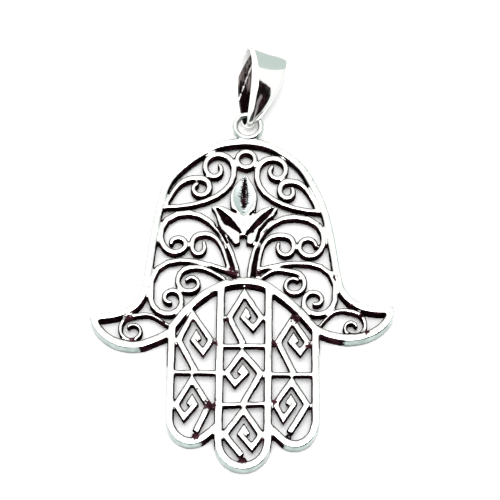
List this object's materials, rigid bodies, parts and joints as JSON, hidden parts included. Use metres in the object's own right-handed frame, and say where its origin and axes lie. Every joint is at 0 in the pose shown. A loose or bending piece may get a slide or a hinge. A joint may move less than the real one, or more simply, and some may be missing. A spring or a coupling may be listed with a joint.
{
  "type": "hamsa pendant",
  "caption": "Pierced hamsa hand pendant of cast silver: a rim with curled wings, filled with scrolls, a lotus and angular keys, lying on its back with its tapered bail in the eye ring.",
  "frame": {"origin": "on the surface the pendant lies on, under the middle of its bounding box", "axes": "+Y from the fingertips towards the bail, +X to the right seen from the front, +Z out of the front face"},
  "size_m": [0.0346, 0.0524, 0.0055],
  "materials": {
    "hand": "cast silver, front worn bright, sides and recesses darkened",
    "bail": "polished silver strip"
  },
  "bodies": {
    "root": {"hand": "hand", "bail": "bail"}
  },
  "joints": []
}
